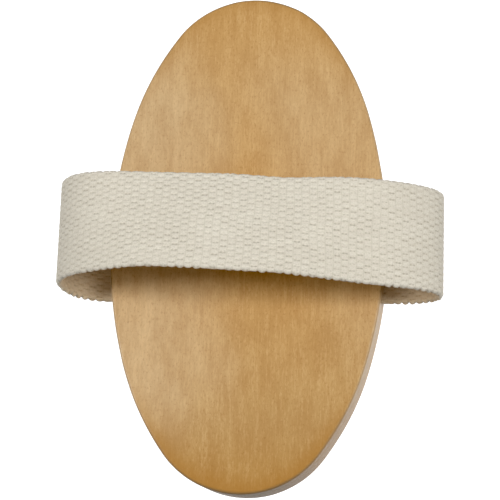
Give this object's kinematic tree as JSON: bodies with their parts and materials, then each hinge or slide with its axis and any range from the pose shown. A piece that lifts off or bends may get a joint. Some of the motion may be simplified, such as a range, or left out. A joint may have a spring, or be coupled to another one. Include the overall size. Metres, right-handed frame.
{
  "type": "body dry brush",
  "caption": "Oval wooden body brush for dry brushing: a field of bristle tufts on one face and a looped cotton webbing hand strap over the flat back.",
  "frame": {"origin": "on the surface that the bristle tips rest on, under the middle of the oval block", "axes": "+X across the block, the way the strap runs; +Y along the block; +Z from the bristle tips to the back"},
  "size_m": [0.0977, 0.13, 0.0608],
  "materials": {
    "cover_wood": "satin",
    "plate_wood": "satin",
    "webbing": "woven cotton",
    "bristle": "natural fibre",
    "wire": "drawn wire"
  },
  "bodies": {
    "root": {"back_cover": "cover_wood", "bristle_plate": "plate_wood", "strap": "webbing", "strap_staples_left": "wire", "strap_staples_right": "wire", "tuft_row_01": "bristle", "tuft_row_02": "bristle", "tuft_row_03": "bristle", "tuft_row_04": "bristle", "tuft_row_05": "bristle", "tuft_row_06": "bristle", "tuft_row_07": "bristle", "tuft_row_08": "bristle", "tuft_row_09": "bristle", "tuft_row_10": "bristle", "tuft_row_11": "bristle", "tuft_row_12": "bristle", "tuft_row_13": "bristle", "tuft_row_14": "bristle", "tuft_row_15": "bristle", "tuft_row_16": "bristle", "tuft_row_17": "bristle", "anchor_row_01": "wire", "anchor_row_02": "wire", "anchor_row_03": "wire", "anchor_row_04": "wire", "anchor_row_05": "wire", "anchor_row_06": "wire", "anchor_row_07": "wire", "anchor_row_08": "wire", "anchor_row_09": "wire", "anchor_row_10": "wire", "anchor_row_11": "wire", "anchor_row_12": "wire", "anchor_row_13": "wire", "anchor_row_14": "wire", "anchor_row_15": "wire", "anchor_row_16": "wire", "anchor_row_17": "wire"}
  },
  "joints": []
}
